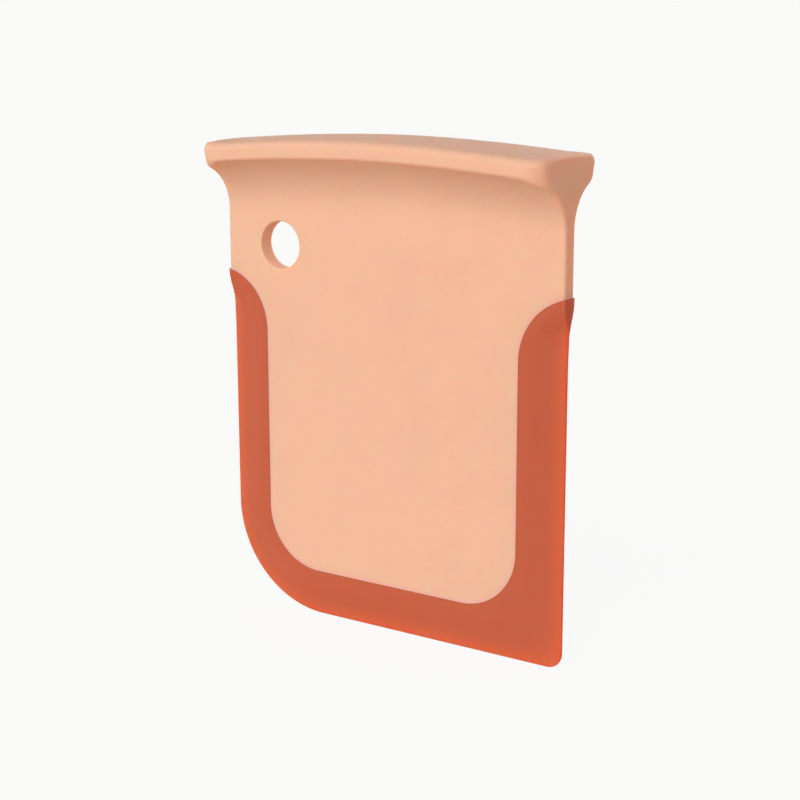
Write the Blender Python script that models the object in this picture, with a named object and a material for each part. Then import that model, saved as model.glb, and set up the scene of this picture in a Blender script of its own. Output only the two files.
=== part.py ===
"""Dough and bowl scraper: a rigid T-grip plate with a soft U-shaped edge moulded round it.

Axes: X across the scraper, -Y the front, +Z up. The origin is under the middle of the lower edge.
Every length is in metres, and MM turns a drawing size into metres.
"""

from math import acos, cos, degrees, pi, radians, sin, sqrt

import bmesh
import bpy
from mathutils import Matrix

MM = 0.001

# Rigid body
BODY_WIDTH = 110.9 * MM
TOTAL_HEIGHT = 140.0 * MM
PLATE_THICKNESS = 4.9 * MM
PLATE_EDGE_ROUND = 0.9 * MM

# T-shaped grip: an arched and crowned top, a shoulder, a short upright lip, a small round under the
# lip and a hollow flare down to the plate
GRIP_DEPTH = 30.0 * MM
GRIP_ARCH_RISE = 2.9 * MM
GRIP_ARCH_POWER = 1.8
GRIP_CROWN = 0.8 * MM
GRIP_SHOULDER_RADIUS = 2.3 * MM
GRIP_LIP_HEIGHT = 1.7 * MM
GRIP_LIP_ROUND = 1.1 * MM
GRIP_FLARE_RADIUS = 13.1 * MM

# Grip ends: the top and the underside draw in towards the plate, the round under the lip grows, the
# crown flattens and the rim of the end is rounded off
GRIP_END_POWER = 2.4
GRIP_TOP_END_LENGTH = 5.6 * MM
GRIP_TOP_END_DEPTH = 4.5 * MM
GRIP_UNDER_END_LENGTH = 7.8 * MM
GRIP_UNDER_END_DEPTH = 5.0 * MM
GRIP_LIP_END_ROUND = 3.8 * MM
GRIP_LIP_END_LENGTH = 8.0 * MM
GRIP_CROWN_FADE = 0.5
GRIP_CROWN_FADE_LENGTH = 10.2 * MM
GRIP_END_DROP = 0.6 * MM
GRIP_END_DROP_LENGTH = 1.2 * MM

# Hang hole, measured from the plate's left side and from the top of the grip
HANG_HOLE_RADIUS = 6.8 * MM
HANG_HOLE_FROM_SIDE = 18.7 * MM
HANG_HOLE_BELOW_TOP = 32.0 * MM

# Seam between the rigid plate and the soft edge
SIDE_BAND = 13.6 * MM
BOTTOM_BAND = 13.65 * MM
SEAM_CORNER_RADIUS = 17.3 * MM
SEAM_STRAIGHT_TOP = 83.1 * MM
SEAM_LEFT_TIP_RADIUS = 17.1 * MM
SEAM_RIGHT_TIP_RADIUS = 18.2 * MM

# Soft edge: a flat land beside the seam, then a bevel down to the thin outer edge. At the tips the
# land runs out to the side, which is thick there and stands proud of the plate
SOFT_THICKNESS = 5.2 * MM
SOFT_EDGE_THICKNESS = 1.0 * MM
SOFT_LAND = 3.5 * MM
SOFT_TIP_PROUD = 0.2 * MM
SOFT_TIP_FALL = 9.0 * MM
SOFT_EDGE_RECESS = 0.45 * MM
SOFT_RECESS_LENGTH = 25.0 * MM
SOFT_LEFT_RADIUS = 30.5 * MM
SOFT_RIGHT_RADIUS = 4.3 * MM
LAND_RIGHT_RADIUS = 13.0 * MM
LAND_TIP_RADIUS = 17.9 * MM

# Hidden tongue that the soft edge is moulded over, and the holes that lock it
TONGUE_LENGTH = 7.0 * MM
TONGUE_THICKNESS = 1.5 * MM
TONGUE_SIDE_MARGIN = 5.0 * MM
LOCK_HOLE_RADIUS = 1.6 * MM
LOCK_HOLE_OFFSET = 3.8 * MM
LOCK_HOLE_PITCH = 10.0 * MM
FIT_GAP = 0.3 * MM

# Finish
PEACH = (0.879, 0.491, 0.342, 1.0)
PEACH_ROUGHNESS = 0.42
TERRACOTTA = (0.597, 0.127, 0.063, 1.0)
TERRACOTTA_ROUGHNESS = 0.5
CREASE_ANGLE = 30

# Points closer than this are one point, and faces that turn less than this are one flat face
WELD_DISTANCE = 0.001 * MM
FLAT_ANGLE = 0.5

# Fineness of the curved shapes
ARCH_STATIONS = 12
END_STATIONS = 5
FLARE_STEPS = 9
ROUND_STEPS = 3
CROWN_STEPS = 4
ARC_STEPS = 10
HANG_HOLE_SIDES = 40
LOCK_HOLE_SIDES = 12

# Sizes that follow from the ones above
HALF_WIDTH = BODY_WIDTH / 2
SOFT_TIP_HALF_WIDTH = HALF_WIDTH + SOFT_TIP_PROUD
SOFT_EDGE_HALF_WIDTH = SOFT_TIP_HALF_WIDTH - SOFT_EDGE_RECESS
SEAM_HALF_WIDTH = HALF_WIDTH - SIDE_BAND
CORNER_CENTRE_X = SEAM_HALF_WIDTH - SEAM_CORNER_RADIUS
CORNER_CENTRE_Z = BOTTOM_BAND + SEAM_CORNER_RADIUS
TONGUE_HALF_WIDTH = HALF_WIDTH - TONGUE_SIDE_MARGIN
THROUGH = GRIP_DEPTH


def clear_scene():
    for obj in list(bpy.data.objects):
        bpy.data.objects.remove(obj, do_unlink=True)


def new_collection(name):
    collection = bpy.data.collections.new(name)
    bpy.context.scene.collection.children.link(collection)
    return collection


def new_material(name, colour, roughness):
    material = bpy.data.materials.new(name)
    material.use_nodes = True
    shader = material.node_tree.nodes["Principled BSDF"]
    shader.inputs["Base Color"].default_value = colour
    shader.inputs["Roughness"].default_value = roughness
    shader.inputs["Metallic"].default_value = 0.0
    return material


def mesh_object(name, bm, collection):
    """Turns a finished bmesh into an object with its faces pointing out."""
    bmesh.ops.remove_doubles(bm, verts=bm.verts, dist=WELD_DISTANCE)
    bmesh.ops.recalc_face_normals(bm, faces=bm.faces)
    mesh = bpy.data.meshes.new(name)
    bm.to_mesh(mesh)
    bm.free()
    obj = bpy.data.objects.new(name, mesh)
    collection.objects.link(obj)
    return obj


def loft(name, rings, collection):
    """Joins rings of equally many points with quads and closes both ends."""
    bm = bmesh.new()
    loops = [[bm.verts.new(point) for point in ring] for ring in rings]
    count = len(rings[0])
    for first, second in zip(loops, loops[1:]):
        for i in range(count):
            j = (i + 1) % count
            bm.faces.new((first[i], first[j], second[j], second[i]))
    bm.faces.new(loops[0])
    bm.faces.new(loops[-1])
    return mesh_object(name, bm, collection)


def prism(name, outline, half_thickness, collection):
    """A flat outline in X and Z, extruded to both sides of Y = 0, with each flat side one face."""
    curve = bpy.data.curves.new(name, "CURVE")
    curve.dimensions = "2D"
    curve.fill_mode = "BOTH"
    curve.extrude = half_thickness
    spline = curve.splines.new("POLY")
    spline.points.add(len(outline) - 1)
    for point, (x, z) in zip(spline.points, outline):
        point.co = (x, z, 0.0, 1.0)
    spline.use_cyclic_u = True
    guide = bpy.data.objects.new(name, curve)
    collection.objects.link(guide)
    guide.matrix_world = Matrix.Rotation(radians(90), 4, "X")
    bpy.context.view_layer.update()
    graph = bpy.context.evaluated_depsgraph_get()
    mesh = bpy.data.meshes.new_from_object(guide.evaluated_get(graph))
    bm = bmesh.new()
    bm.from_mesh(mesh)
    bmesh.ops.transform(bm, matrix=guide.matrix_world, verts=bm.verts)
    bmesh.ops.remove_doubles(bm, verts=bm.verts, dist=WELD_DISTANCE)
    flat = radians(FLAT_ANGLE)
    bmesh.ops.dissolve_limit(bm, angle_limit=flat, verts=bm.verts, edges=bm.edges)
    bpy.data.objects.remove(guide, do_unlink=True)
    bpy.data.meshes.remove(mesh)
    return mesh_object(name, bm, collection)


def cross_pins(name, centres, radius, sides, collection):
    """Round pins along Y, one at each (x, z), in one object."""
    bm = bmesh.new()
    for x, z in centres:
        place = Matrix.Translation((x, 0.0, z)) @ Matrix.Rotation(radians(90), 4, "X")
        bmesh.ops.create_cone(
            bm,
            cap_ends=True,
            segments=sides,
            radius1=radius,
            radius2=radius,
            depth=THROUGH,
            matrix=place,
        )
    return mesh_object(name, bm, collection)


def as_cutter(obj):
    obj.hide_render = True
    obj.display_type = "WIRE"
    return obj


def boolean(obj, other, operation):
    modifier = obj.modifiers.new(f"{operation.lower()} {other.name}", "BOOLEAN")
    modifier.operation = operation
    modifier.solver = "EXACT"
    modifier.object = other


def arc(centre_x, centre_z, radius, start, end, steps=ARC_STEPS):
    """Points on an arc, both ends included; angles in degrees from +X towards +Z."""
    turns = [radians(start + (end - start) * i / steps) for i in range(steps + 1)]
    return [(centre_x + radius * cos(t), centre_z + radius * sin(t)) for t in turns]


def mirrored(points):
    """The same points on the other side of X = 0, in reverse order."""
    return [(-x, z) for x, z in reversed(points)]


def end_inset(distance, length, depth, power=2.0):
    """How far a rounded end draws in at this distance from the end; power 2 is an ellipse."""
    if distance >= length:
        return 0.0
    reach = min(1 - distance / length, 1.0)
    return depth * (1 - (1 - reach**power) ** (1 / power))


def ease(share):
    """Goes smoothly from 0 to 1 as the share does."""
    share = min(max(share, 0.0), 1.0)
    return share * share * (3 - 2 * share)


def grip_section(x):
    """The closed outline of plate and grip in Y and Z at one place along X."""
    distance = HALF_WIDTH - abs(x)
    half_plate = PLATE_THICKNESS / 2 - end_inset(distance, PLATE_EDGE_ROUND, PLATE_EDGE_ROUND)
    top_inset = end_inset(distance, GRIP_TOP_END_LENGTH, GRIP_TOP_END_DEPTH, GRIP_END_POWER)
    under_inset = end_inset(distance, GRIP_UNDER_END_LENGTH, GRIP_UNDER_END_DEPTH, GRIP_END_POWER)
    half_top = GRIP_DEPTH / 2 - top_inset
    half_under = GRIP_DEPTH / 2 - under_inset
    crown = GRIP_CROWN * (1 - GRIP_CROWN_FADE * ease(1 - distance / GRIP_CROWN_FADE_LENGTH))
    arch_z = TOTAL_HEIGHT - GRIP_ARCH_RISE * abs(x / HALF_WIDTH) ** GRIP_ARCH_POWER
    lip_z = arch_z - crown - GRIP_SHOULDER_RADIUS - GRIP_LIP_HEIGHT
    top = arch_z - end_inset(distance, GRIP_END_DROP_LENGTH, GRIP_END_DROP)
    growth = ease(1 - distance / GRIP_LIP_END_LENGTH)
    lip_round = GRIP_LIP_ROUND + (GRIP_LIP_END_ROUND - GRIP_LIP_ROUND) * growth
    reach = (half_under - half_plate) / (GRIP_FLARE_RADIUS + lip_round)
    flare_turn = acos(max(1 - reach, 0.0))
    flare_z = lip_z - (GRIP_FLARE_RADIUS + lip_round) * sin(flare_turn)
    half = [(half_plate, BOTTOM_BAND / 2)]
    for i in range(FLARE_STEPS + 1):
        turn = flare_turn * i / FLARE_STEPS
        y = half_plate + GRIP_FLARE_RADIUS * (1 - cos(turn))
        half.append((y, flare_z + GRIP_FLARE_RADIUS * sin(turn)))
    for i in range(ROUND_STEPS - 1, -1, -1):
        turn = flare_turn * i / ROUND_STEPS
        half.append((half_under - lip_round * (1 - cos(turn)), lip_z - lip_round * sin(turn)))
    shoulder_y = half_top - GRIP_SHOULDER_RADIUS
    shoulder_z = top - crown - GRIP_SHOULDER_RADIUS
    for i in range(ROUND_STEPS + 1):
        turn = pi / 2 * i / ROUND_STEPS
        z = shoulder_z + GRIP_SHOULDER_RADIUS * sin(turn)
        half.append((shoulder_y + GRIP_SHOULDER_RADIUS * cos(turn), z))
    for i in range(CROWN_STEPS - 1, 0, -1):
        share = i / CROWN_STEPS
        half.append((shoulder_y * share, top - crown * share**2))
    back = [(x, y, z) for y, z in half]
    front = [(x, -y, z) for y, z in reversed(half)]
    return back + [(x, 0.0, top)] + front


def grip_stations():
    """Places along X: close together in the rounded ends, even steps between them."""
    reach = max(GRIP_UNDER_END_LENGTH, GRIP_LIP_END_LENGTH, GRIP_CROWN_FADE_LENGTH)
    near = {reach * (1 - cos(pi / 2 * i / END_STATIONS)) for i in range(END_STATIONS + 1)}
    for length in (GRIP_END_DROP_LENGTH, PLATE_EDGE_ROUND):
        near |= {length * (1 - cos(pi / 2 * i / ROUND_STEPS)) for i in range(1, ROUND_STEPS + 1)}
    left = [-HALF_WIDTH + distance for distance in sorted(near)]
    straight = HALF_WIDTH - reach
    middle = [straight * (2 * i / ARCH_STATIONS - 1) for i in range(1, ARCH_STATIONS)]
    return left + middle + [-x for x in reversed(left)]


def seam_tip_height(tip_radius):
    """Where the seam's upper arc meets the plate's side."""
    across = tip_radius - SIDE_BAND
    return SEAM_STRAIGHT_TOP + sqrt(tip_radius**2 - across**2)


def seam_side(tip_radius):
    """The seam from the bottom up the right side, closed well above the grip."""
    centre_x = SEAM_HALF_WIDTH + tip_radius
    outside = centre_x + tip_radius
    above = TOTAL_HEIGHT + GRIP_DEPTH
    side = arc(CORNER_CENTRE_X, CORNER_CENTRE_Z, SEAM_CORNER_RADIUS, -90, 0)
    side += arc(centre_x, SEAM_STRAIGHT_TOP, tip_radius, 180, 90)
    return side + [(outside, SEAM_STRAIGHT_TOP + tip_radius), (outside, above)]


def tongue_side(tip_radius, grow):
    """The tongue's rim up the right side, closed inside the rigid body."""
    reach = TONGUE_LENGTH + grow
    centre_x = SEAM_HALF_WIDTH + tip_radius
    radius = tip_radius - reach
    stop = degrees(acos(min((centre_x - TONGUE_HALF_WIDTH - grow) / radius, 1.0)))
    side = arc(CORNER_CENTRE_X, CORNER_CENTRE_Z, SEAM_CORNER_RADIUS + reach, -90, 0)
    side += arc(centre_x, SEAM_STRAIGHT_TOP, radius, 180, 180 - stop)
    return side + [(side[-1][0], seam_tip_height(tip_radius) + grow)]


def seam_outline():
    """Everything inside the seam: the rigid body's share."""
    return seam_side(SEAM_RIGHT_TIP_RADIUS) + mirrored(seam_side(SEAM_LEFT_TIP_RADIUS))


def tongue_outline(grow):
    """The whole tongue, or with some growth its slot."""
    right = tongue_side(SEAM_RIGHT_TIP_RADIUS, grow)
    return right + mirrored(tongue_side(SEAM_LEFT_TIP_RADIUS, grow))


def lock_hole_centres():
    """Evenly spaced along a line parallel to the seam, down one side and up the other."""
    radius = SEAM_CORNER_RADIUS + LOCK_HOLE_OFFSET
    side = SEAM_STRAIGHT_TOP - CORNER_CENTRE_Z
    quarter = radius * pi / 2
    half_bottom = CORNER_CENTRE_X
    half_length = half_bottom + quarter + side
    count = int(half_length / LOCK_HOLE_PITCH)
    centres = []
    for i in range(-count, count + 1):
        run = abs(i) * LOCK_HOLE_PITCH
        if run <= half_bottom:
            x, z = run, BOTTOM_BAND - LOCK_HOLE_OFFSET
        elif run <= half_bottom + quarter:
            turn = (run - half_bottom) / radius
            x, z = CORNER_CENTRE_X + radius * sin(turn), CORNER_CENTRE_Z - radius * cos(turn)
        else:
            x, z = SEAM_HALF_WIDTH + LOCK_HOLE_OFFSET, CORNER_CENTRE_Z + run - half_bottom - quarter
        centres.append((x if i >= 0 else -x, z))
    return centres


def soft_tip_rings(tip_radius):
    """Inner, land and outer points at a tip on the right, from the straight side up to the tip."""
    centre_x = SEAM_HALF_WIDTH + tip_radius
    seam_radius = tip_radius - FIT_GAP
    tip = acos((centre_x - HALF_WIDTH) / seam_radius)
    bevel = SIDE_BAND + SOFT_TIP_PROUD - SOFT_LAND
    land_rise = sqrt(LAND_TIP_RADIUS**2 - (LAND_TIP_RADIUS - bevel) ** 2)
    full = SOFT_THICKNESS / 2
    thin = SOFT_EDGE_THICKNESS / 2
    rings = []
    for i in range(ARC_STEPS + 1):
        turn = tip * i / ARC_STEPS
        rise = seam_radius * sin(turn)
        below = land_rise - rise
        z = SEAM_STRAIGHT_TOP + rise
        land_x = SOFT_TIP_HALF_WIDTH
        if below > 0:
            land_x -= bevel - LAND_TIP_RADIUS + sqrt(LAND_TIP_RADIUS**2 - rise**2)
        outer_x = SOFT_TIP_HALF_WIDTH - SOFT_EDGE_RECESS * ease(below / SOFT_RECESS_LENGTH)
        outer_half = full - (full - thin) * ease(below / SOFT_TIP_FALL)
        rings.append(((centre_x - seam_radius * cos(turn), z), (land_x, z), (outer_x, z), outer_half))
    return rings


def soft_corner_rings(outer_radius, land_corner_radius):
    """The same three points round a lower right corner, from the bottom up to the side."""
    land_x = SEAM_HALF_WIDTH + SOFT_LAND - land_corner_radius
    land_z = BOTTOM_BAND - SOFT_LAND + land_corner_radius
    inner = arc(CORNER_CENTRE_X, CORNER_CENTRE_Z, SEAM_CORNER_RADIUS + FIT_GAP, -90, 0)
    land = arc(land_x, land_z, land_corner_radius, -90, 0)
    outer = arc(SOFT_EDGE_HALF_WIDTH - outer_radius, outer_radius, outer_radius, -90, 0)
    return [(a, b, c, SOFT_EDGE_THICKNESS / 2) for a, b, c in zip(inner, land, outer)]


def soft_edge_rings():
    """Sections of the soft edge, from its left tip round the bottom to its right tip."""
    right = soft_corner_rings(SOFT_RIGHT_RADIUS, LAND_RIGHT_RADIUS)
    right += soft_tip_rings(SEAM_RIGHT_TIP_RADIUS)
    left = soft_corner_rings(SOFT_LEFT_RADIUS, SEAM_CORNER_RADIUS + SOFT_LAND)
    left += soft_tip_rings(SEAM_LEFT_TIP_RADIUS)
    stations = [(1, ring) for ring in right]
    stations = [(-1, ring) for ring in reversed(left)] + stations
    half = SOFT_THICKNESS / 2
    rings = []
    for side, (inner, land, outer, outer_half) in stations:
        front = [(inner, -half), (land, -half), (outer, -outer_half)]
        back = [(outer, outer_half), (land, half), (inner, half)]
        rings.append([(side * x, y, z) for (x, z), y in front + back])
    return rings


def build_body(parts, cutters):
    body = loft("scraper_body", [grip_section(x) for x in grip_stations()], parts)
    boolean(body, as_cutter(prism("seam_limit", seam_outline(), THROUGH, cutters)), "INTERSECT")
    tongue = prism("tongue", tongue_outline(0.0), TONGUE_THICKNESS / 2, cutters)
    boolean(body, as_cutter(tongue), "UNION")
    centres = lock_hole_centres()
    holes = cross_pins("lock_holes", centres, LOCK_HOLE_RADIUS, LOCK_HOLE_SIDES, cutters)
    boolean(body, as_cutter(holes), "DIFFERENCE")
    hang = [(HANG_HOLE_FROM_SIDE - HALF_WIDTH, TOTAL_HEIGHT - HANG_HOLE_BELOW_TOP)]
    hang_hole = cross_pins("hang_hole", hang, HANG_HOLE_RADIUS, HANG_HOLE_SIDES, cutters)
    boolean(body, as_cutter(hang_hole), "DIFFERENCE")
    return body


def build_soft_edge(parts, cutters):
    soft = loft("silicone_edge", soft_edge_rings(), parts)
    slot = prism("tongue_slot", tongue_outline(FIT_GAP), TONGUE_THICKNESS / 2 + FIT_GAP, cutters)
    plug_radius = LOCK_HOLE_RADIUS - FIT_GAP
    plugs = cross_pins("lock_plugs", lock_hole_centres(), plug_radius, LOCK_HOLE_SIDES, cutters)
    boolean(as_cutter(slot), as_cutter(plugs), "DIFFERENCE")
    boolean(soft, slot, "DIFFERENCE")
    return soft


def main():
    clear_scene()
    parts = new_collection("dough_scraper")
    cutters = new_collection("cutters")
    body = build_body(parts, cutters)
    body.data.materials.append(new_material("peach_plastic", PEACH, PEACH_ROUGHNESS))
    soft = build_soft_edge(parts, cutters)
    rubber = new_material("terracotta_silicone", TERRACOTTA, TERRACOTTA_ROUGHNESS)
    soft.data.materials.append(rubber)
    for obj in (body, soft):
        obj.data.shade_smooth()
        obj.data.set_sharp_from_angle(angle=radians(CREASE_ANGLE))


main()
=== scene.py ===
"""Looks of the dough and bowl scraper: the fine surface of the rigid plate with its grip, the soft
edge round it, their materials, and the studio they stand in.

Axes: X across the scraper, -Y the front, +Z up. Every length is in metres, and MM turns a drawing
size into metres.
"""

from math import acos, cos, pi, radians, sin, sqrt, tan

import bmesh
import bpy
from mathutils import Matrix, Vector


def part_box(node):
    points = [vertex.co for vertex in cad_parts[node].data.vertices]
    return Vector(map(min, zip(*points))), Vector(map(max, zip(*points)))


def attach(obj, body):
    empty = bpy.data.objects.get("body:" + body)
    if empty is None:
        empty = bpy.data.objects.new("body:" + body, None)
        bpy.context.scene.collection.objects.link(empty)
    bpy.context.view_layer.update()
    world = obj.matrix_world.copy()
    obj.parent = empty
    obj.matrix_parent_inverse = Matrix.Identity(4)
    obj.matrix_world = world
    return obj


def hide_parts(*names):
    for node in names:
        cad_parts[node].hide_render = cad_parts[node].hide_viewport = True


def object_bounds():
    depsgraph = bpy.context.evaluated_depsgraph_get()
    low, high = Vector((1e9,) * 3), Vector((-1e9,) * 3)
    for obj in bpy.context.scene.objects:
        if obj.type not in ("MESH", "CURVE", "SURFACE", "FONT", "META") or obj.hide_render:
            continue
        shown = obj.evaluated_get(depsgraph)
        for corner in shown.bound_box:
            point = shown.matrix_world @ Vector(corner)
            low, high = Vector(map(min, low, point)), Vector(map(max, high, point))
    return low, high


MM = 0.001

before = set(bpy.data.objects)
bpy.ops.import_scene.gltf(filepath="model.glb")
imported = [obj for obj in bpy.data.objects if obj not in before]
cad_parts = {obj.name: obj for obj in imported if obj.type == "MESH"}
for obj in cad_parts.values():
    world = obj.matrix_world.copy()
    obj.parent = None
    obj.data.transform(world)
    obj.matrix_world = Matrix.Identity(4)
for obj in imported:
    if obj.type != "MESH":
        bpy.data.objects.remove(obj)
cad_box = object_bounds()
body_low, body_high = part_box("scraper_body")
soft_low, soft_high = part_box("silicone_edge")

# Rigid body, with its overall sizes read from the frame
HALF_WIDTH = body_high.x
TOTAL_HEIGHT = body_high.z
GRIP_DEPTH = body_high.y - body_low.y
PLATE_THICKNESS = 4.9 * MM
PLATE_EDGE_ROUND = 0.9 * MM

# T-shaped grip: an arched and crowned top, a shoulder, a short upright lip, a small round under the
# lip and a hollow flare down to the plate
GRIP_ARCH_RISE = 2.9 * MM
GRIP_ARCH_POWER = 1.8
GRIP_CROWN = 0.8 * MM
GRIP_SHOULDER_RADIUS = 2.3 * MM
GRIP_LIP_HEIGHT = 1.7 * MM
GRIP_LIP_ROUND = 1.1 * MM
GRIP_FLARE_RADIUS = 13.1 * MM

# Grip ends: the top and the underside draw in towards the plate, the round under the lip grows, the
# crown flattens and the rim of the end is rounded off
GRIP_END_POWER = 2.4
GRIP_TOP_END_LENGTH = 5.6 * MM
GRIP_TOP_END_DEPTH = 4.5 * MM
GRIP_UNDER_END_LENGTH = 7.8 * MM
GRIP_UNDER_END_DEPTH = 5.0 * MM
GRIP_LIP_END_ROUND = 3.8 * MM
GRIP_LIP_END_LENGTH = 8.0 * MM
GRIP_CROWN_FADE = 0.5
GRIP_CROWN_FADE_LENGTH = 10.2 * MM
GRIP_END_DROP = 0.6 * MM
GRIP_END_DROP_LENGTH = 1.2 * MM

# Hang hole, measured from the plate's left side and from the top of the grip. Its rims are rounded
# through a turn in degrees, and the plug that cuts it goes on past the round by a clearance
HANG_HOLE_RADIUS = 6.8 * MM
HANG_HOLE_FROM_SIDE = 18.7 * MM
HANG_HOLE_BELOW_TOP = 32.0 * MM
HANG_HOLE_ROUND = 0.4 * MM
HANG_HOLE_ROUND_TURN = 75
HANG_HOLE_CLEARANCE = 0.15 * MM

# Seam between the rigid plate and the soft edge
SIDE_BAND = 13.6 * MM
BOTTOM_BAND = 13.65 * MM
SEAM_CORNER_RADIUS = 17.3 * MM
SEAM_STRAIGHT_TOP = 83.1 * MM
SEAM_LEFT_TIP_RADIUS = 17.1 * MM
SEAM_RIGHT_TIP_RADIUS = 18.2 * MM
SEAM_CREVICE = 0.02 * MM

# Rims that the cut at the seam leaves on the plate: those that turn more than this many degrees are
# rounded, and the flat faces count most in the shading beside them
PLATE_RIM_ROUND = 0.12 * MM
SHARP_ANGLE = 40
RIM_SEGMENTS = 3
FLAT_FACE_WEIGHT = 100

# Soft edge: a flat land beside the seam, then a bevel down to the thin rounded edge. At the tips
# the land runs out to the side, which is thick there and stands proud of the plate
SOFT_TIP_HALF_WIDTH = soft_high.x
SOFT_THICKNESS = 5.2 * MM
SOFT_EDGE_THICKNESS = 1.0 * MM
SOFT_LAND = 3.5 * MM
SOFT_TIP_FALL = 9.0 * MM
SOFT_EDGE_RECESS = 0.45 * MM
SOFT_RECESS_LENGTH = 25.0 * MM
SOFT_LEFT_RADIUS = 30.5 * MM
SOFT_RIGHT_RADIUS = 4.3 * MM
LAND_RIGHT_RADIUS = 13.0 * MM
LAND_TIP_RADIUS = 17.9 * MM
LAND_BLEND = 0.8 * MM
SOFT_RIM_ROUND = 0.12 * MM
SOFT_SIDE_ROUND = 0.45 * MM

# Points closer than this become one, and faces that turn less than this many degrees become one
WELD_DISTANCE = 0.001 * MM
FLAT_ANGLE = 0.01

# Fineness of the curved surfaces
ARCH_STATIONS = 60
END_STATIONS = 16
FLARE_STEPS = 26
ROUND_STEPS = 8
CROWN_STEPS = 10
ARC_STEPS = 40
BEVEL_STEPS = 24
HANG_HOLE_SIDES = 96

# Colours, as linear values. Painted light: the plastic is painted faintly pink within a short reach of
# the seam, for the silicone's colour reflected onto it, and the silicone is painted a little lighter
# where it is thin, for the light that comes through it
PEACH = (0.773, 0.577, 0.417)
PEACH_PAINTED_SEAM_REFLECTION = (0.785, 0.525, 0.447, 1.0)
PAINTED_PINK_REACH = (0.4 * MM, 1.4 * MM)
TERRACOTTA = (0.53, 0.148, 0.076)
TERRACOTTA_PAINTED_GLOW = (0.63, 0.163, 0.074, 1.0)
PAINTED_GLOW_THINNESS = (0.35, 0.85)

# Surface finish: how far the tone strays, the range of the roughness, and for the grain its cells in a
# metre and its depth
PEACH_FINISH = {"variation": 0.012, "roughness": (0.56, 0.66), "grain": (2600, 0.004 * MM)}
TERRACOTTA_FINISH = {"variation": 0.015, "roughness": (0.6, 0.7), "grain": (1900, 0.006 * MM)}
PEACH_SPECULAR = 0.06
TERRACOTTA_SPECULAR = 0.12
CLOUD_SCALE = 70
CLOUD_DETAIL = 3.0
GRAIN_DETAIL = 2.0
NOISE_LOW = 0.3
NOISE_HIGH = 0.7

# Light under the surface: how far red goes, and the share of that for each of red, green and blue
PEACH_SCATTER = 4.0 * MM
PEACH_SCATTER_BY_SEAM = 0.6 * MM
SEAM_SCATTER_REACH = 5.0 * MM
PEACH_SCATTER_SHARES = (1.0, 0.28, 0.18)
TERRACOTTA_SCATTER = 2.5 * MM
TERRACOTTA_SCATTER_SHARES = (1.0, 0.2, 0.1)

# Studio. Seen directly, the floor mostly glows, so that it looks like the backdrop. Its own colour is
# in the shadow on it and in the light that it throws up
BACKDROP = (0.955, 0.957, 0.949, 1.0)
AMBIENT_TINT = (1.0, 0.32, 0.18, 1.0)
AMBIENT_STRENGTH = 0.28
KEY_STRENGTH = 3.4
KEY_SPREAD = 90
KEY_AZIMUTH = 0
KEY_ELEVATION = 13
REAR_STRENGTH = 3.4
REAR_SPREAD = 50
REAR_AZIMUTH = 180
REAR_ELEVATION = 0
FLOOR_RADIUS = 40
FLOOR_SIDES = 128
FLOOR_DROP = 0.05 * MM
FLOOR_COLOUR = (0.9, 0.72, 0.6, 1.0)
FLOOR_GLOW = (0.98, 1.0, 1.0, 1.0)
FLOOR_GLOW_SHARE = 0.93

# Camera, from the photograph's perspective
PICTURE_WIDTH = 800
SENSOR_WIDTH = 36.0
FOCAL_PIXELS = 1726.3
CAMERA_AZIMUTH = 34.647
CAMERA_ELEVATION = 12.731
CAMERA_ROLL = -0.12
CAMERA_DISTANCE = 477.4 * MM
CAMERA_TARGET = (2.75 * MM, 0.0, 67.6 * MM)
CAMERA_NEAREST = 10 * MM

SEAM_HALF_WIDTH = HALF_WIDTH - SIDE_BAND
SOFT_EDGE_HALF_WIDTH = SOFT_TIP_HALF_WIDTH - SOFT_EDGE_RECESS
CORNER_CENTRE_X = SEAM_HALF_WIDTH - SEAM_CORNER_RADIUS
CORNER_CENTRE_Z = BOTTOM_BAND + SEAM_CORNER_RADIUS
HANG_HOLE_CENTRE = (HANG_HOLE_FROM_SIDE - HALF_WIDTH, TOTAL_HEIGHT - HANG_HOLE_BELOW_TOP)


def mesh_object(name, bm):
    """Turns a finished bmesh into an object with its faces pointing out."""
    bmesh.ops.remove_doubles(bm, verts=bm.verts, dist=WELD_DISTANCE)
    bmesh.ops.recalc_face_normals(bm, faces=bm.faces)
    mesh = bpy.data.meshes.new(name)
    bm.to_mesh(mesh)
    bm.free()
    obj = bpy.data.objects.new(name, mesh)
    bpy.context.scene.collection.objects.link(obj)
    return obj


def loft(name, rings, merge_flat=False, marks=None):
    """Joins rings of equally many points with quads and closes both ends.

    Marks, where given, are one thinness for each point.
    """
    bm = bmesh.new()
    thinness = bm.verts.layers.float.new("thinness")
    loops = [[bm.verts.new(point) for point in ring] for ring in rings]
    for loop, values in zip(loops, marks or []):
        for vert, value in zip(loop, values):
            vert[thinness] = value
    count = len(rings[0])
    for first, second in zip(loops, loops[1:]):
        for i in range(count):
            j = (i + 1) % count
            bm.faces.new((first[i], first[j], second[j], second[i]))
    bm.faces.new(loops[0])
    bm.faces.new(loops[-1])
    if merge_flat:
        bmesh.ops.dissolve_limit(bm, angle_limit=radians(FLAT_ANGLE), verts=bm.verts, edges=bm.edges)
    return mesh_object(name, bm)


def prism(name, outline, half_thickness):
    """A flat outline in X and Z, extruded to both sides of Y = 0."""
    bm = bmesh.new()
    count = len(outline)
    front = [bm.verts.new((x, -half_thickness, z)) for x, z in outline]
    back = [bm.verts.new((x, half_thickness, z)) for x, z in outline]
    bm.faces.new(front)
    bm.faces.new(back)
    for i in range(count):
        j = (i + 1) % count
        bm.faces.new((front[i], front[j], back[j], back[i]))
    return mesh_object(name, bm)


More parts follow.
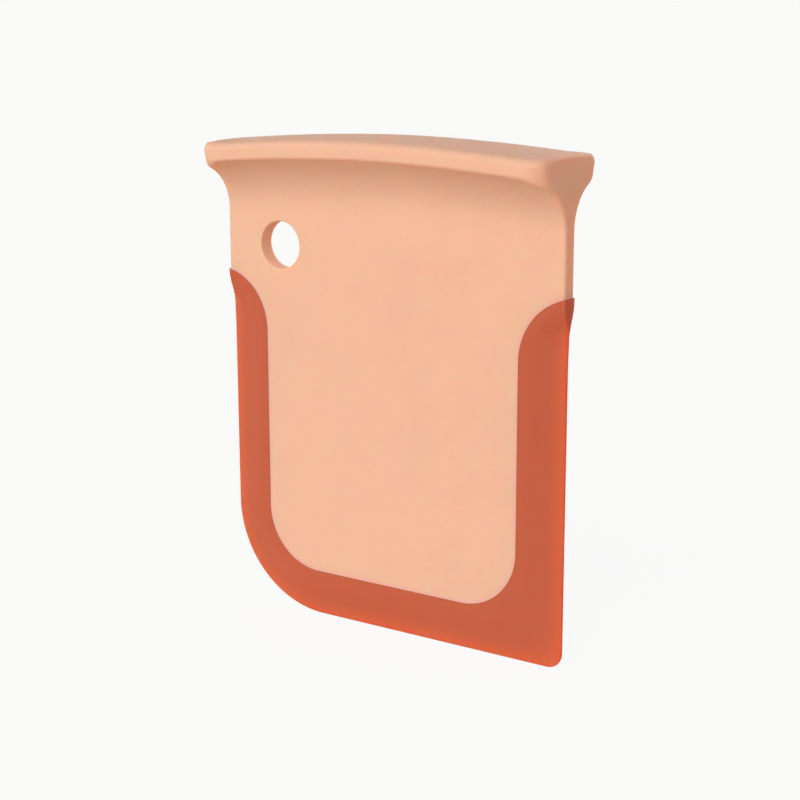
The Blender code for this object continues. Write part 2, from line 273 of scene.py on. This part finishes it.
def cut(obj, other, operation):
    """Applies a boolean at once and removes the other object."""
    modifier = obj.modifiers.new(operation.lower(), "BOOLEAN")
    modifier.operation = operation
    modifier.solver = "EXACT"
    modifier.object = other
    graph = bpy.context.evaluated_depsgraph_get()
    mesh = bpy.data.meshes.new_from_object(obj.evaluated_get(graph))
    obj.modifiers.clear()
    obj.data = mesh
    bpy.data.objects.remove(other, do_unlink=True)


def arc(centre_x, centre_z, radius, start, end, steps=ARC_STEPS):
    """Points on an arc, both ends included; angles in degrees from +X towards +Z."""
    turns = [radians(start + (end - start) * i / steps) for i in range(steps + 1)]
    return [(centre_x + radius * cos(t), centre_z + radius * sin(t)) for t in turns]


def mirrored(points):
    """The same points on the other side of X = 0, in reverse order."""
    return [(-x, z) for x, z in reversed(points)]


def end_inset(distance, length, depth, power=2.0):
    """How far a rounded end draws in at this distance from the end."""
    if distance >= length:
        return 0.0
    reach = min(1 - distance / length, 1.0)
    return depth * (1 - (1 - reach**power) ** (1 / power))


def ease(share):
    """Goes smoothly from 0 to 1 as the share does."""
    share = min(max(share, 0.0), 1.0)
    return share * share * (3 - 2 * share)


def grip_section(x):
    """The closed outline of plate and grip in Y and Z at one place along X."""
    distance = HALF_WIDTH - abs(x)
    half_plate = PLATE_THICKNESS / 2 - end_inset(distance, PLATE_EDGE_ROUND, PLATE_EDGE_ROUND)
    top_inset = end_inset(distance, GRIP_TOP_END_LENGTH, GRIP_TOP_END_DEPTH, GRIP_END_POWER)
    under_inset = end_inset(distance, GRIP_UNDER_END_LENGTH, GRIP_UNDER_END_DEPTH, GRIP_END_POWER)
    half_top = GRIP_DEPTH / 2 - top_inset
    half_under = GRIP_DEPTH / 2 - under_inset
    crown = GRIP_CROWN * (1 - GRIP_CROWN_FADE * ease(1 - distance / GRIP_CROWN_FADE_LENGTH))
    arch_z = TOTAL_HEIGHT - GRIP_ARCH_RISE * abs(x / HALF_WIDTH) ** GRIP_ARCH_POWER
    lip_z = arch_z - crown - GRIP_SHOULDER_RADIUS - GRIP_LIP_HEIGHT
    top = arch_z - end_inset(distance, GRIP_END_DROP_LENGTH, GRIP_END_DROP)
    growth = ease(1 - distance / GRIP_LIP_END_LENGTH)
    lip_round = GRIP_LIP_ROUND + (GRIP_LIP_END_ROUND - GRIP_LIP_ROUND) * growth
    reach = (half_under - half_plate) / (GRIP_FLARE_RADIUS + lip_round)
    flare_turn = acos(max(1 - reach, 0.0))
    flare_z = lip_z - (GRIP_FLARE_RADIUS + lip_round) * sin(flare_turn)
    half = [(half_plate, BOTTOM_BAND / 2)]
    for i in range(FLARE_STEPS + 1):
        turn = flare_turn * i / FLARE_STEPS
        y = half_plate + GRIP_FLARE_RADIUS * (1 - cos(turn))
        half.append((y, flare_z + GRIP_FLARE_RADIUS * sin(turn)))
    for i in range(ROUND_STEPS - 1, -1, -1):
        turn = flare_turn * i / ROUND_STEPS
        half.append((half_under - lip_round * (1 - cos(turn)), lip_z - lip_round * sin(turn)))
    shoulder_y = half_top - GRIP_SHOULDER_RADIUS
    shoulder_z = top - crown - GRIP_SHOULDER_RADIUS
    for i in range(ROUND_STEPS + 1):
        turn = pi / 2 * i / ROUND_STEPS
        z = shoulder_z + GRIP_SHOULDER_RADIUS * sin(turn)
        half.append((shoulder_y + GRIP_SHOULDER_RADIUS * cos(turn), z))
    for i in range(CROWN_STEPS - 1, 0, -1):
        share = i / CROWN_STEPS
        half.append((shoulder_y * share, top - crown * share**2))
    back = [(x, y, z) for y, z in half]
    front = [(x, -y, z) for y, z in reversed(half)]
    return back + [(x, 0.0, top)] + front


def grip_stations():
    """Places along X: close together in the rounded ends, even steps between them."""
    reach = max(GRIP_UNDER_END_LENGTH, GRIP_LIP_END_LENGTH, GRIP_CROWN_FADE_LENGTH)
    near = set()
    for length in (reach, GRIP_END_DROP_LENGTH, PLATE_EDGE_ROUND):
        near |= {length * (1 - cos(pi / 2 * i / END_STATIONS)) for i in range(END_STATIONS + 1)}
    left = [-HALF_WIDTH + distance for distance in sorted(near)]
    straight = HALF_WIDTH - reach
    middle = [straight * (2 * i / ARCH_STATIONS - 1) for i in range(1, ARCH_STATIONS)]
    return left + middle + [-x for x in reversed(left)]


def seam_side(tip_radius):
    """The seam from the bottom up the right side, closed well above the grip."""
    centre_x = SEAM_HALF_WIDTH + tip_radius
    outside = centre_x + tip_radius
    over_grip = TOTAL_HEIGHT + GRIP_DEPTH
    side = arc(CORNER_CENTRE_X, CORNER_CENTRE_Z, SEAM_CORNER_RADIUS, -90, 0)
    side += arc(centre_x, SEAM_STRAIGHT_TOP, tip_radius, 180, 90)
    return side + [(outside, SEAM_STRAIGHT_TOP + tip_radius), (outside, over_grip)]


def seam_outline():
    """Everything inside the seam: the rigid body's share."""
    return seam_side(SEAM_RIGHT_TIP_RADIUS) + mirrored(seam_side(SEAM_LEFT_TIP_RADIUS))


def hang_hole_plug():
    """The hang hole's inside as a solid: straight in the middle, and flared at the rounded rims.

    Each flare stops short of the plate's face and runs straight on through it at a low angle.
    """
    x, z = HANG_HOLE_CENTRE
    half = PLATE_THICKNESS / 2
    last = radians(HANG_HOLE_ROUND_TURN)
    flare = []
    for i in range(ROUND_STEPS + 1):
        turn = last * i / ROUND_STEPS
        radius = HANG_HOLE_RADIUS + HANG_HOLE_ROUND * (1 - cos(turn))
        flare.append((radius, half - HANG_HOLE_ROUND * (1 - sin(turn))))
    radius, y = flare[-1]
    flare.append((radius + HANG_HOLE_CLEARANCE * tan(last), y + HANG_HOLE_CLEARANCE))
    profile = [(radius, -y) for radius, y in reversed(flare)] + flare
    rings = []
    for radius, y in profile:
        circle = arc(x, z, radius, 0, 360, HANG_HOLE_SIDES)[:-1]
        rings.append([(across, y, up) for across, up in circle])
    return loft("hang_hole", rings)


def build_body():
    """The plate and its grip: a loft along X, cut off at the seam and pierced by the hang hole."""
    body = loft("scraper_plate", [grip_section(x) for x in grip_stations()], merge_flat=True)
    cut(body, prism("seam_limit", seam_outline(), GRIP_DEPTH), "INTERSECT")
    cut(body, hang_hole_plug(), "DIFFERENCE")
    round_rims(body, PLATE_RIM_ROUND)
    return body


def round_rims(obj, width):
    """Rounds the sharp rims a cut leaves and keeps the flat faces flat in the shading."""
    bevel = obj.modifiers.new("rim", "BEVEL")
    bevel.limit_method = "ANGLE"
    bevel.angle_limit = radians(SHARP_ANGLE)
    bevel.width = width
    bevel.segments = RIM_SEGMENTS
    bevel.use_clamp_overlap = True
    obj.data.shade_smooth()
    weighted = obj.modifiers.new("even normals", "WEIGHTED_NORMAL")
    weighted.weight = FLAT_FACE_WEIGHT
    weighted.keep_sharp = True


def soft_tip_stations(tip_radius):
    """Seam, land and outer places at a tip on the right, from the straight side up to the tip.

    The fourth value is half the thickness at the outer side.
    """
    centre_x = SEAM_HALF_WIDTH + tip_radius
    seam_radius = tip_radius - SEAM_CREVICE
    tip = acos((centre_x - HALF_WIDTH) / seam_radius)
    bevel = SOFT_TIP_HALF_WIDTH - SEAM_HALF_WIDTH - SOFT_LAND
    land_rise = sqrt(LAND_TIP_RADIUS**2 - (LAND_TIP_RADIUS - bevel) ** 2)
    full = SOFT_THICKNESS / 2
    thin = SOFT_EDGE_THICKNESS / 2
    stations = []
    for i in range(ARC_STEPS + 1):
        turn = tip * i / ARC_STEPS
        rise = seam_radius * sin(turn)
        below = land_rise - rise
        z = SEAM_STRAIGHT_TOP + rise
        land_x = SOFT_TIP_HALF_WIDTH
        if below > 0:
            land_x -= bevel - LAND_TIP_RADIUS + sqrt(LAND_TIP_RADIUS**2 - rise**2)
        outer_x = SOFT_TIP_HALF_WIDTH - SOFT_EDGE_RECESS * ease(below / SOFT_RECESS_LENGTH)
        outer_half = full - (full - thin) * ease(below / SOFT_TIP_FALL)
        seam = (centre_x - seam_radius * cos(turn), z)
        stations.append((seam, (land_x, z), (outer_x, z), outer_half))
    return stations


def soft_corner_stations(outer_radius, land_corner_radius):
    """The same values round a lower right corner, from the bottom up to the side."""
    land_x = SEAM_HALF_WIDTH + SOFT_LAND - land_corner_radius
    land_z = BOTTOM_BAND - SOFT_LAND + land_corner_radius
    inner = arc(CORNER_CENTRE_X, CORNER_CENTRE_Z, SEAM_CORNER_RADIUS + SEAM_CREVICE, -90, 0)
    land = arc(land_x, land_z, land_corner_radius, -90, 0)
    outer = arc(SOFT_EDGE_HALF_WIDTH - outer_radius, outer_radius, outer_radius, -90, 0)
    return [(a, b, c, SOFT_EDGE_THICKNESS / 2) for a, b, c in zip(inner, land, outer)]


def soft_half_section(inner, land, outer, outer_half):
    """One side of the soft edge's section, from the seam to its outer side.

    Each point is a place in X and Z, a height over the middle plane and how thin the edge is there.
    """
    half = SOFT_THICKNESS / 2
    inner, land, outer = Vector(inner), Vector(land), Vector(outer)
    land_run = (land - inner).length
    bevel_run = (outer - land).length
    run = land_run + bevel_run
    slope = (half - outer_half) / max(bevel_run, MM)
    blend = min(LAND_BLEND, land_run, bevel_run)

    def height(s):
        beyond = s - land_run
        if beyond <= -blend:
            return half
        if beyond < blend:
            return half - slope * (beyond + blend) ** 2 / (4 * blend)
        return half - slope * beyond

    def place(s):
        if s <= land_run:
            return inner.lerp(land, s / land_run)
        return land.lerp(outer, min((s - land_run) / bevel_run, 1.0))

    most = run / 3
    rim = min(SOFT_RIM_ROUND, most)
    side = min(SOFT_SIDE_ROUND, most)
    turns = [pi / 2 * i / ROUND_STEPS for i in range(ROUND_STEPS + 1)]
    profile = [(rim * (1 - cos(t)), half - rim * (1 - sin(t))) for t in turns]
    flat = run - rim - side
    for i in range(1, BEVEL_STEPS):
        s = rim + flat * i / BEVEL_STEPS
        profile.append((s, height(s)))
    for t in turns:
        s = run - side * (1 - sin(t))
        profile.append((s, height(s) - side * (1 - cos(t))))
    return [(place(s), h, 1 - height(s) / half) for s, h in profile]


def build_soft_edge():
    """The soft edge: its section swept from the left tip round the bottom to the right tip."""
    right = soft_corner_stations(SOFT_RIGHT_RADIUS, LAND_RIGHT_RADIUS)
    right += soft_tip_stations(SEAM_RIGHT_TIP_RADIUS)
    left = soft_corner_stations(SOFT_LEFT_RADIUS, SEAM_CORNER_RADIUS + SOFT_LAND)
    left += soft_tip_stations(SEAM_LEFT_TIP_RADIUS)
    stations = [(-1, station) for station in reversed(left)]
    stations += [(1, station) for station in right]
    rings = []
    marks = []
    for side, station in stations:
        section = soft_half_section(*station)
        front = [(side * place.x, -height, place.y) for place, height, thin in section]
        back = [(side * place.x, height, place.y) for place, height, thin in reversed(section)]
        thinness = [thin for place, height, thin in section]
        rings.append(front + back)
        marks.append(thinness + thinness[::-1])
    soft = loft("silicone_rim", rings, marks=marks)
    soft.data.shade_smooth()
    return soft


class Nodes:
    """Adds nodes to one material or world and links them."""

    def __init__(self, owner):
        owner.use_nodes = True
        self.tree = owner.node_tree

    def add(self, kind, **settings):
        node = self.tree.nodes.new(kind)
        for name, value in settings.items():
            setattr(node, name, value)
        return node

    def link(self, source, target):
        self.tree.links.new(source, target)


def noise(nodes, place, scale, detail):
    """A noise of this many cells a metre, from 0 to 1."""
    node = nodes.add("ShaderNodeTexNoise")
    node.inputs["Scale"].default_value = scale
    node.inputs["Detail"].default_value = detail
    nodes.link(place, node.inputs["Vector"])
    return node.outputs["Fac"]


def ranged(nodes, value, start, end, low, high, smooth=False):
    """A value that runs from low to high as the given one goes from start to end."""
    kind = "SMOOTHSTEP" if smooth else "LINEAR"
    node = nodes.add("ShaderNodeMapRange", interpolation_type=kind)
    for name, number in (("From Min", start), ("From Max", end), ("To Min", low), ("To Max", high)):
        node.inputs[name].default_value = number
    nodes.link(value, node.inputs["Value"])
    return node.outputs["Result"]


def set_or_link(nodes, value, target):
    """Gives a socket another node's output, or a plain value."""
    if hasattr(value, "is_linked"):
        nodes.link(value, target)
    else:
        target.default_value = value


def mixed(nodes, factor, first, second):
    """The first colour where the factor is 0 and the second where it is 1."""
    node = nodes.add("ShaderNodeMix", data_type="RGBA")
    sockets = {s.name: s for s in node.inputs if s.enabled and s.type in ("VALUE", "RGBA")}
    set_or_link(nodes, factor, sockets["Factor"])
    set_or_link(nodes, first, sockets["A"])
    set_or_link(nodes, second, sockets["B"])
    return next(s for s in node.outputs if s.type == "RGBA")


def calculated(nodes, operation, *values):
    """One Math node; each value is a number or another node's output."""
    node = nodes.add("ShaderNodeMath", operation=operation)
    for value, target in zip(values, node.inputs):
        set_or_link(nodes, value, target)
    return node.outputs["Value"]


def length_of(nodes, across, up):
    """The length of the vector with these two components."""
    square = calculated(nodes, "MULTIPLY", across, across)
    return calculated(nodes, "SQRT", calculated(nodes, "MULTIPLY_ADD", up, up, square))


def above(nodes, value, limit):
    """How far the value lies above the limit, or 0."""
    return calculated(nodes, "MAXIMUM", calculated(nodes, "SUBTRACT", value, limit), 0.0)


def seam_distance(nodes, place):
    """How far inside the seam a point of the plate lies, true within a corner's radius of the seam.

    It is the lesser of two: the distance from the sides and tips, and from the bottom and corners.
    """
    axes = nodes.add("ShaderNodeSeparateXYZ")
    nodes.link(place, axes.inputs["Vector"])
    across = calculated(nodes, "ABSOLUTE", axes.outputs["X"])
    up = axes.outputs["Z"]

    on_right = calculated(nodes, "GREATER_THAN", axes.outputs["X"], 0.0)
    growth = SEAM_RIGHT_TIP_RADIUS - SEAM_LEFT_TIP_RADIUS
    tip_radius = calculated(nodes, "MULTIPLY_ADD", on_right, growth, SEAM_LEFT_TIP_RADIUS)
    inside = calculated(nodes, "SUBTRACT", across, SEAM_HALF_WIDTH)
    tip_across = calculated(nodes, "SUBTRACT", inside, tip_radius)
    tip_reach = length_of(nodes, tip_across, above(nodes, up, SEAM_STRAIGHT_TOP))
    side = calculated(nodes, "SUBTRACT", tip_reach, tip_radius)

    corner_across = above(nodes, across, CORNER_CENTRE_X)
    corner_reach = length_of(nodes, corner_across, above(nodes, CORNER_CENTRE_Z, up))
    bottom = calculated(nodes, "SUBTRACT", SEAM_CORNER_RADIUS, corner_reach)
    bottom = calculated(nodes, "ADD", bottom, above(nodes, up, CORNER_CENTRE_Z))
    return calculated(nodes, "MINIMUM", side, bottom)


def shade(colour, factor):
    """The same colour, a little lighter or darker."""
    return (colour[0] * factor, colour[1] * factor, colour[2] * factor, 1.0)


def moulded(name, colour, variation, roughness, grain):
    """A moulded polymer: faint cloudiness, a fine grain in the surface and an uneven sheen."""
    material = bpy.data.materials.new(name)
    nodes = Nodes(material)
    shader = nodes.tree.nodes["Principled BSDF"]
    place = nodes.add("ShaderNodeTexCoord").outputs["Object"]

    clouds = noise(nodes, place, CLOUD_SCALE, CLOUD_DETAIL)
    cloudiness = ranged(nodes, clouds, NOISE_LOW, NOISE_HIGH, 0.0, 1.0)
    tone = mixed(nodes, cloudiness, shade(colour, 1 - variation), shade(colour, 1 + variation))

    scale, depth = grain
    height = noise(nodes, place, scale, GRAIN_DETAIL)
    sheen = ranged(nodes, height, NOISE_LOW, NOISE_HIGH, *roughness)
    nodes.link(sheen, shader.inputs["Roughness"])
    bump = nodes.add("ShaderNodeBump")
    bump.inputs["Strength"].default_value = 1.0
    bump.inputs["Distance"].default_value = depth
    nodes.link(height, bump.inputs["Height"])
    nodes.link(bump.outputs["Normal"], shader.inputs["Normal"])
    return material, nodes, shader, place, tone


def scatter_light(shader, shares, specular):
    """All light enters the surface, apart from a weak gloss; red goes the furthest."""
    shader.inputs["Specular IOR Level"].default_value = specular
    shader.inputs["Subsurface Weight"].default_value = 1.0
    shader.inputs["Subsurface Radius"].default_value = shares


def peach_plastic():
    """Satin plastic, with a faint pink painted along the seam: painted light, for the silicone's
    colour reflected onto it.

    Light goes less deep beside the seam, where it would otherwise be lost into the gap.
    """
    material, nodes, shader, place, tone = moulded("peach_plastic", PEACH, **PEACH_FINISH)
    distance = seam_distance(nodes, place)
    # Painted light: a faint pink near the seam, for the silicone's colour reflected onto the plastic
    painted_pink = ranged(nodes, distance, *PAINTED_PINK_REACH, 1.0, 0.0, smooth=True)
    nodes.link(mixed(nodes, painted_pink, tone, PEACH_PAINTED_SEAM_REFLECTION), shader.inputs["Base Color"])
    depths = (PEACH_SCATTER_BY_SEAM, PEACH_SCATTER)
    scatter = ranged(nodes, distance, 0.0, SEAM_SCATTER_REACH, *depths, smooth=True)
    nodes.link(scatter, shader.inputs["Subsurface Scale"])
    scatter_light(shader, PEACH_SCATTER_SHARES, PEACH_SPECULAR)
    return material


def terracotta_silicone():
    """Matte silicone, painted a little lighter where it thins out: painted light, for the light that
    comes through it.
    """
    name = "terracotta_silicone"
    material, nodes, shader, _, tone = moulded(name, TERRACOTTA, **TERRACOTTA_FINISH)
    thinness = nodes.add("ShaderNodeAttribute", attribute_name="thinness").outputs["Fac"]
    # Painted light: lighter where the silicone is thin, for the light that comes through it
    glow = ranged(nodes, thinness, *PAINTED_GLOW_THINNESS, 0.0, 1.0, smooth=True)
    nodes.link(mixed(nodes, glow, tone, TERRACOTTA_PAINTED_GLOW), shader.inputs["Base Color"])
    shader.inputs["Subsurface Scale"].default_value = TERRACOTTA_SCATTER
    scatter_light(shader, TERRACOTTA_SCATTER_SHARES, TERRACOTTA_SPECULAR)
    return material


def seen_directly(nodes):
    """1 for rays from the camera and for mirror-like and see-through ones, otherwise 0."""
    rays = nodes.add("ShaderNodeLightPath").outputs
    seen = calculated(nodes, "MAXIMUM", rays["Is Camera Ray"], rays["Is Glossy Ray"])
    return calculated(nodes, "MAXIMUM", seen, rays["Is Transmission Ray"])


def build_world():
    """A pale backdrop for the eye, and a weak warm light from all round for the object."""
    world = bpy.data.worlds.new("studio")
    bpy.context.scene.world = world
    nodes = Nodes(world)
    nodes.tree.nodes.clear()
    backdrop = nodes.add("ShaderNodeBackground")
    backdrop.inputs["Color"].default_value = BACKDROP
    backdrop.inputs["Strength"].default_value = 1.0
    ambient = nodes.add("ShaderNodeBackground")
    ambient.inputs["Color"].default_value = AMBIENT_TINT
    ambient.inputs["Strength"].default_value = AMBIENT_STRENGTH
    choice = nodes.add("ShaderNodeMixShader")
    nodes.link(seen_directly(nodes), choice.inputs["Fac"])
    nodes.link(ambient.outputs["Background"], choice.inputs[1])
    nodes.link(backdrop.outputs["Background"], choice.inputs[2])
    output = nodes.add("ShaderNodeOutputWorld")
    nodes.link(choice.outputs["Shader"], output.inputs["Surface"])


def build_floor():
    """A wide pale floor. It looks like the backdrop, apart from the object's soft shadow on it."""
    bm = bmesh.new()
    bmesh.ops.create_circle(bm, cap_ends=True, segments=FLOOR_SIDES, radius=FLOOR_RADIUS)
    floor = mesh_object("studio_floor", bm)
    floor.location.z = cad_box[0].z - FLOOR_DROP
    material = bpy.data.materials.new("studio_floor")
    nodes = Nodes(material)
    nodes.tree.nodes.clear()
    paper = nodes.add("ShaderNodeBsdfDiffuse")
    paper.inputs["Color"].default_value = FLOOR_COLOUR
    glow = nodes.add("ShaderNodeEmission")
    glow.inputs["Color"].default_value = FLOOR_GLOW
    glow.inputs["Strength"].default_value = 1.0
    share = calculated(nodes, "MULTIPLY", seen_directly(nodes), FLOOR_GLOW_SHARE)
    choice = nodes.add("ShaderNodeMixShader")
    nodes.link(share, choice.inputs["Fac"])
    nodes.link(paper.outputs["BSDF"], choice.inputs[1])
    nodes.link(glow.outputs["Emission"], choice.inputs[2])
    output = nodes.add("ShaderNodeOutputMaterial")
    nodes.link(choice.outputs["Shader"], output.inputs["Surface"])
    floor.data.materials.append(material)


def direction(azimuth, elevation):
    """The unit vector to a place this many degrees round from the front and above the horizon."""
    turn, rise = radians(azimuth), radians(elevation)
    return Vector((sin(turn) * cos(rise), -cos(turn) * cos(rise), sin(rise)))


def build_soft_light(name, strength, spread, azimuth, elevation):
    """A wide white source, far away; its spread is how many degrees across it looks."""
    light = bpy.data.lights.new(name, "SUN")
    light.energy = strength
    light.angle = radians(spread)
    lamp = bpy.data.objects.new(name, light)
    bpy.context.scene.collection.objects.link(lamp)
    lamp.rotation_euler = direction(azimuth, elevation).to_track_quat("Z", "Y").to_euler()


def build_camera():
    """The photograph's view: a fitted place and focal length, and a slight roll."""
    data = bpy.data.cameras.new("photo")
    data.sensor_width = SENSOR_WIDTH
    data.lens = SENSOR_WIDTH * FOCAL_PIXELS / PICTURE_WIDTH
    data.clip_start = CAMERA_NEAREST
    data.clip_end = 2 * FLOOR_RADIUS
    camera = bpy.data.objects.new("photo", data)
    bpy.context.scene.collection.objects.link(camera)
    back = direction(CAMERA_AZIMUTH, CAMERA_ELEVATION)
    camera.location = Vector(CAMERA_TARGET) + back * CAMERA_DISTANCE
    facing = back.to_track_quat("Z", "Y").to_matrix().to_4x4()
    roll = Matrix.Rotation(radians(CAMERA_ROLL), 4, "Z")
    camera.rotation_euler = (facing @ roll).to_euler()
    bpy.context.scene.camera = camera


def dress(obj, node, material):
    """Shows a piece in place of a CAD node, in the finish of one material slot."""
    obj.data.materials.clear()
    obj.data.materials.append(material)
    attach(obj, "root")
    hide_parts(node)


dress(build_body(), "scraper_body", peach_plastic())
dress(build_soft_edge(), "silicone_edge", terracotta_silicone())
build_world()
build_floor()
build_soft_light("key", KEY_STRENGTH, KEY_SPREAD, KEY_AZIMUTH, KEY_ELEVATION)
build_soft_light("rear", REAR_STRENGTH, REAR_SPREAD, REAR_AZIMUTH, REAR_ELEVATION)
build_camera()
bpy.context.scene.view_settings.view_transform = "Standard"
